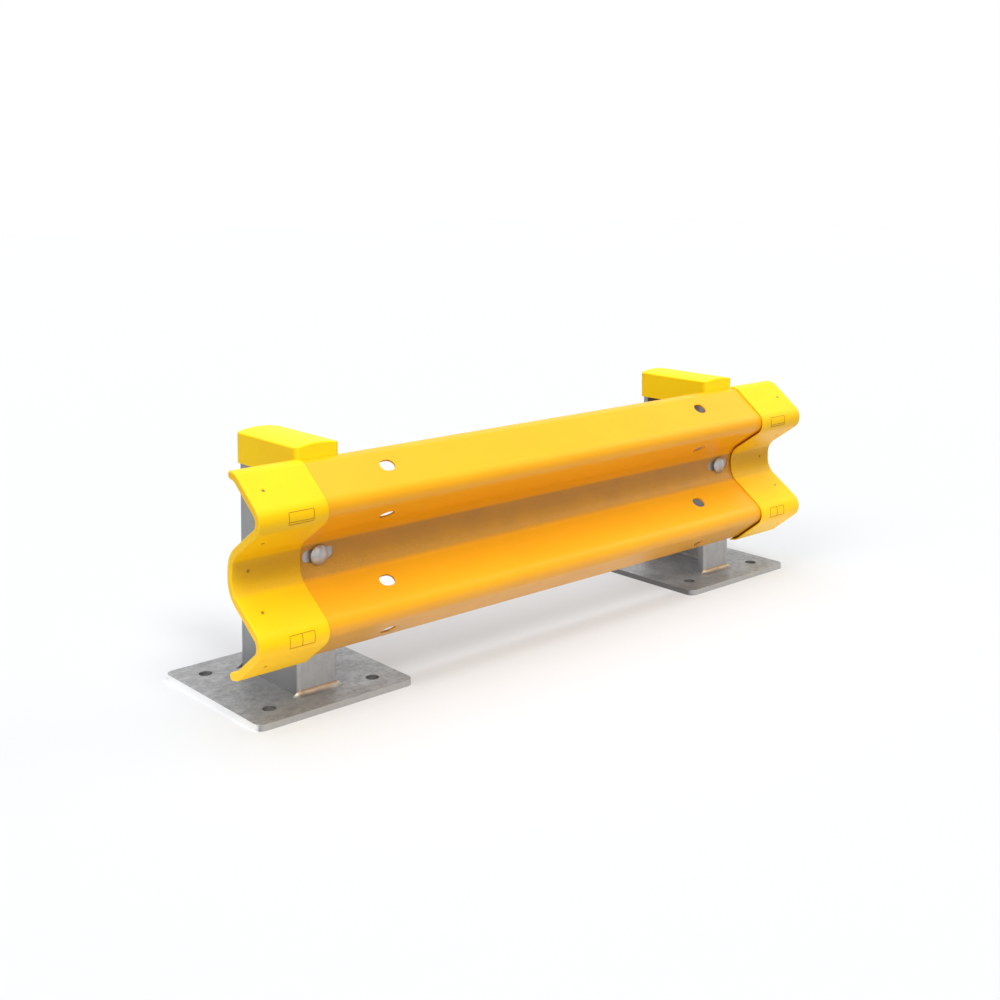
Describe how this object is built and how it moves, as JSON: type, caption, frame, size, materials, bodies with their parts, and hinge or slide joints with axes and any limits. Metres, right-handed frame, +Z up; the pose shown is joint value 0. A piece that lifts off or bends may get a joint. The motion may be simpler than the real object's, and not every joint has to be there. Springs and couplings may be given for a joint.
{
  "type": "industrial guard rail",
  "caption": "Short industrial guard rail: a corrugated steel beam with sleeved ends, bolted across capped channel posts welded to square anchor plates.",
  "frame": {"origin": "on the floor under the middle of the object's bounding box", "axes": "+X along the rail towards its right end as seen from the traffic side, -Y towards the traffic side, +Z up"},
  "size_m": [1.286, 0.3176, 0.405],
  "materials": {
    "rail_paint": "yellow-orange powder coat with a fine grain",
    "post_steel": "dull hot-dip galvanised",
    "plate_steel": "dull hot-dip galvanised, mottled",
    "weld_bead": "galvanised weld bead",
    "cap_plastic": "satin moulded plastic",
    "sleeve_plastic": "satin moulded plastic with a fine grain",
    "bolt_steel": "zinc plated",
    "screw_steel": "black oxide"
  },
  "bodies": {
    "root": {"rail_beam": "rail_paint", "post_left": "post_steel", "base_plate_left": "plate_steel", "weld_front_left": "weld_bead", "weld_rear_left": "weld_bead", "weld_web_left": "weld_bead", "post_cap_left": "cap_plastic", "end_cover_left": "sleeve_plastic", "cover_screws_left": "screw_steel", "rail_bolt_left": "bolt_steel", "rail_washer_left": "bolt_steel", "rail_nut_left": "bolt_steel", "post_right": "post_steel", "base_plate_right": "plate_steel", "weld_front_right": "weld_bead", "weld_rear_right": "weld_bead", "weld_web_right": "weld_bead", "post_cap_right": "cap_plastic", "end_cover_right": "sleeve_plastic", "cover_screws_right": "screw_steel", "rail_bolt_right": "bolt_steel", "rail_washer_right": "bolt_steel", "rail_nut_right": "bolt_steel"}
  },
  "joints": []
}
